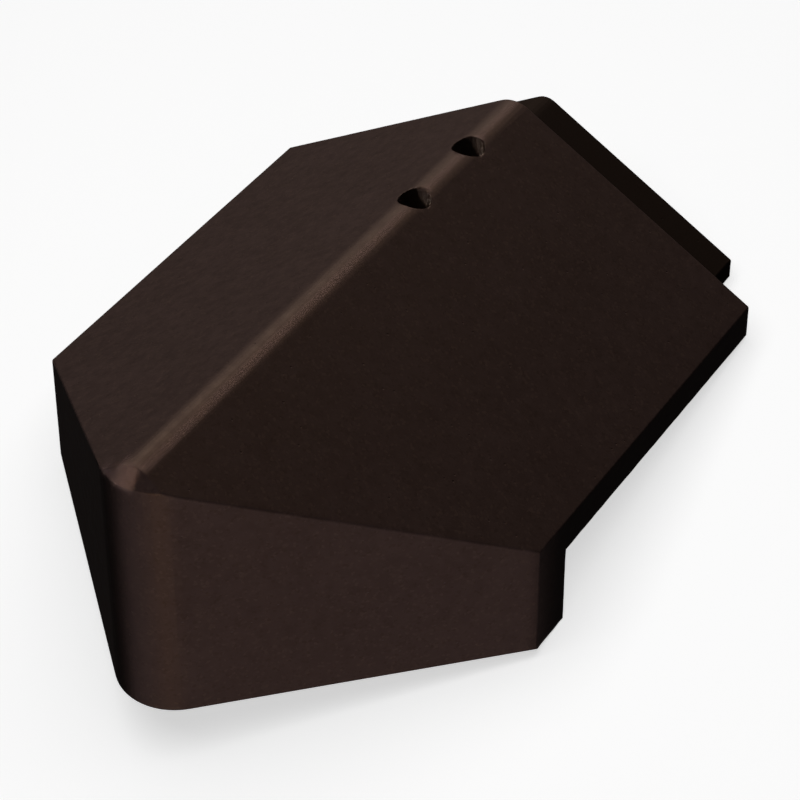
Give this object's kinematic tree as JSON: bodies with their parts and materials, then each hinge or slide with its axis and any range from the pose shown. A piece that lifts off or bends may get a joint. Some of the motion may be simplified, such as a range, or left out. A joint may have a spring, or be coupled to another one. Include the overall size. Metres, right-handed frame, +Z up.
{
  "type": "hip end tile",
  "caption": "Angular concrete hip end tile: two wings meeting at a rounded ridge, a pointed apron closing the lower end, fixing holes and a sunk lap tongue.",
  "frame": {"origin": "middle of the bounding box, on the floor that the tile lies on", "axes": "+X across the wings, +Y along the ridge in plan towards the upper end, +Z up"},
  "size_m": [0.3, 0.4288, 0.1805],
  "materials": {
    "dark_brown_concrete": "matte moulded concrete with a dark brown colour coat"
  },
  "bodies": {
    "root": {"hip_end_tile": "dark_brown_concrete"}
  },
  "joints": []
}
